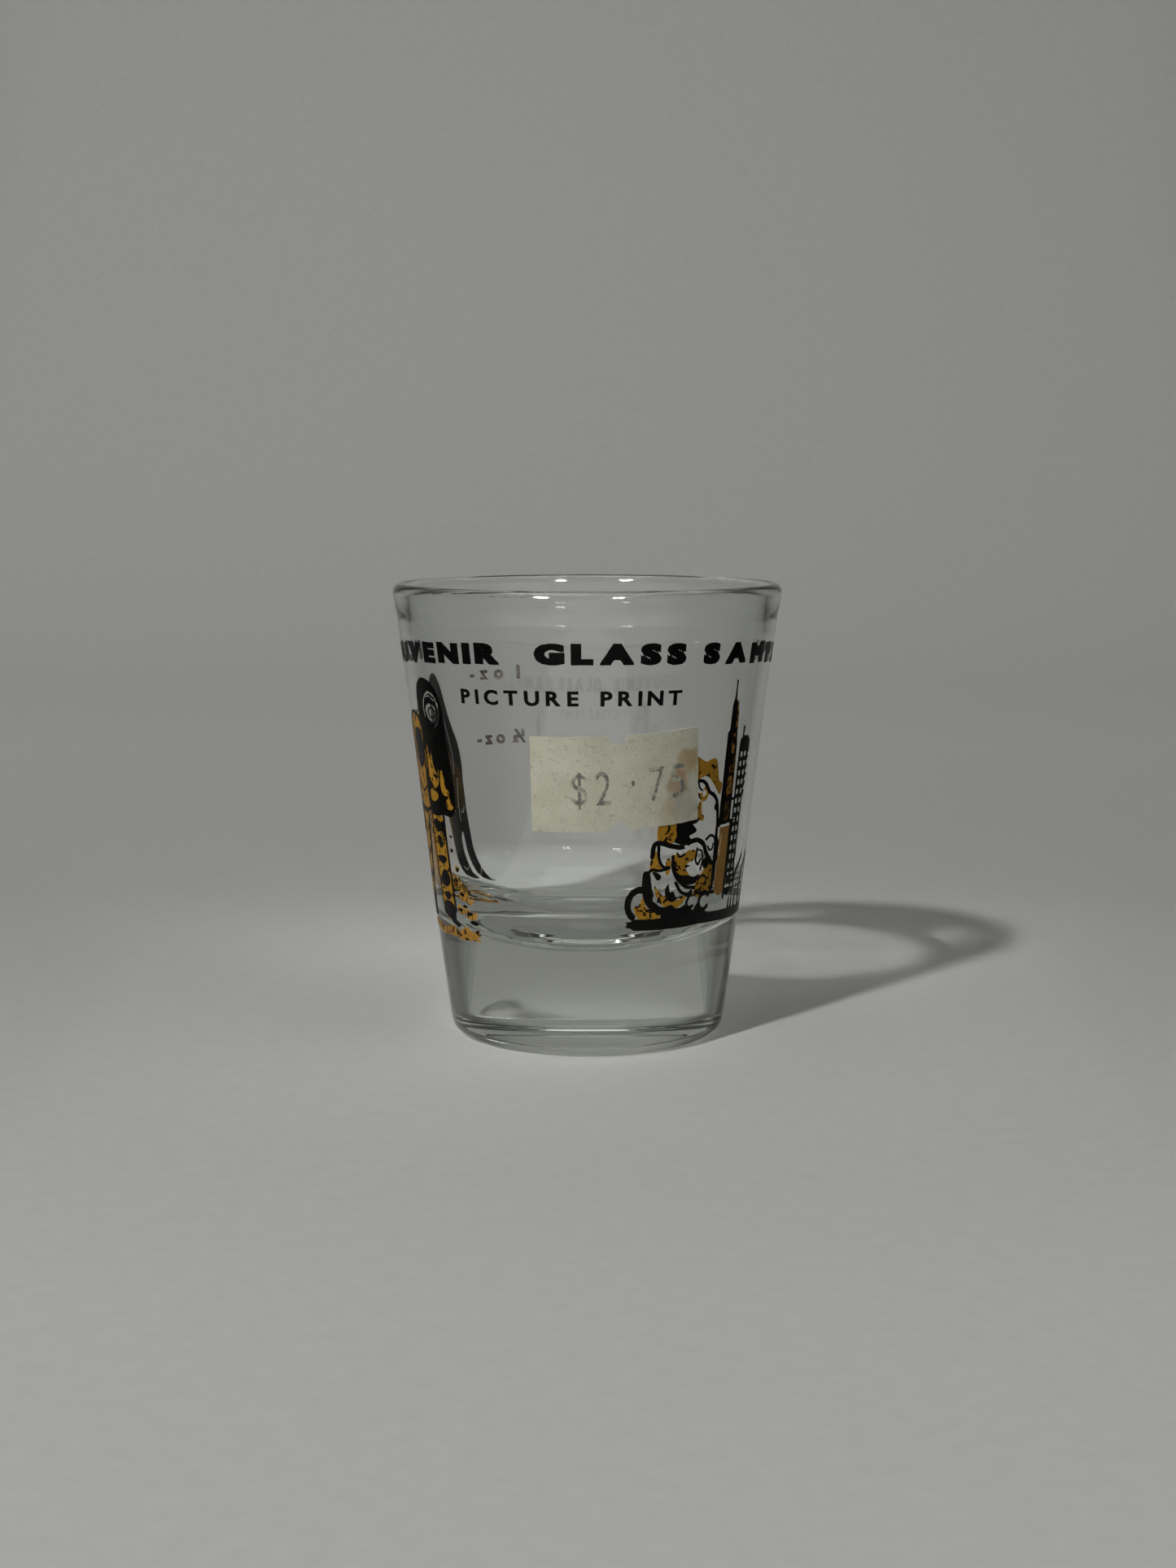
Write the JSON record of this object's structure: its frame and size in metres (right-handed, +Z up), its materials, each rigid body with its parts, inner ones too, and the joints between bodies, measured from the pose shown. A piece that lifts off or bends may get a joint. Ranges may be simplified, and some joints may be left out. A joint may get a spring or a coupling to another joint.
{
  "type": "shot glass",
  "caption": "Tapered clear shot glass with a thick solid base and rounded bowl, fired black and gold picture prints, and a notched paper price label on the front.",
  "frame": {"origin": "centre of the ring on the underside that the glass rests on", "axes": "+Z up along the axis of the glass, -Y towards the front where the price label is, +X to the viewer's right"},
  "size_m": [0.049, 0.049, 0.0572],
  "materials": {
    "clear_glass": "clear, fire-polished",
    "label_paper": "uncoated cream paper, aged and slightly translucent",
    "black_enamel": "fired black glass enamel, glossy",
    "gold_enamel": "fired amber-gold glass enamel, glossy"
  },
  "bodies": {
    "root": {"glass_body": "clear_glass", "price_label": "label_paper", "title_word_left": "black_enamel", "title_word_front": "black_enamel", "title_word_right": "black_enamel", "caption_word_left": "black_enamel", "caption_word_right": "black_enamel", "one_ounce_mark": "black_enamel", "half_ounce_mark": "black_enamel", "rocket_print": "black_enamel", "tower_print": "black_enamel", "gantry_print": "gold_enamel", "smoke_print": "gold_enamel", "smoke_outline_print": "black_enamel", "ground_line_print": "black_enamel", "astronaut_print": "black_enamel", "astronaut_leg_print": "gold_enamel", "moon_ground_print": "gold_enamel", "companion_print": "black_enamel"}
  },
  "joints": []
}
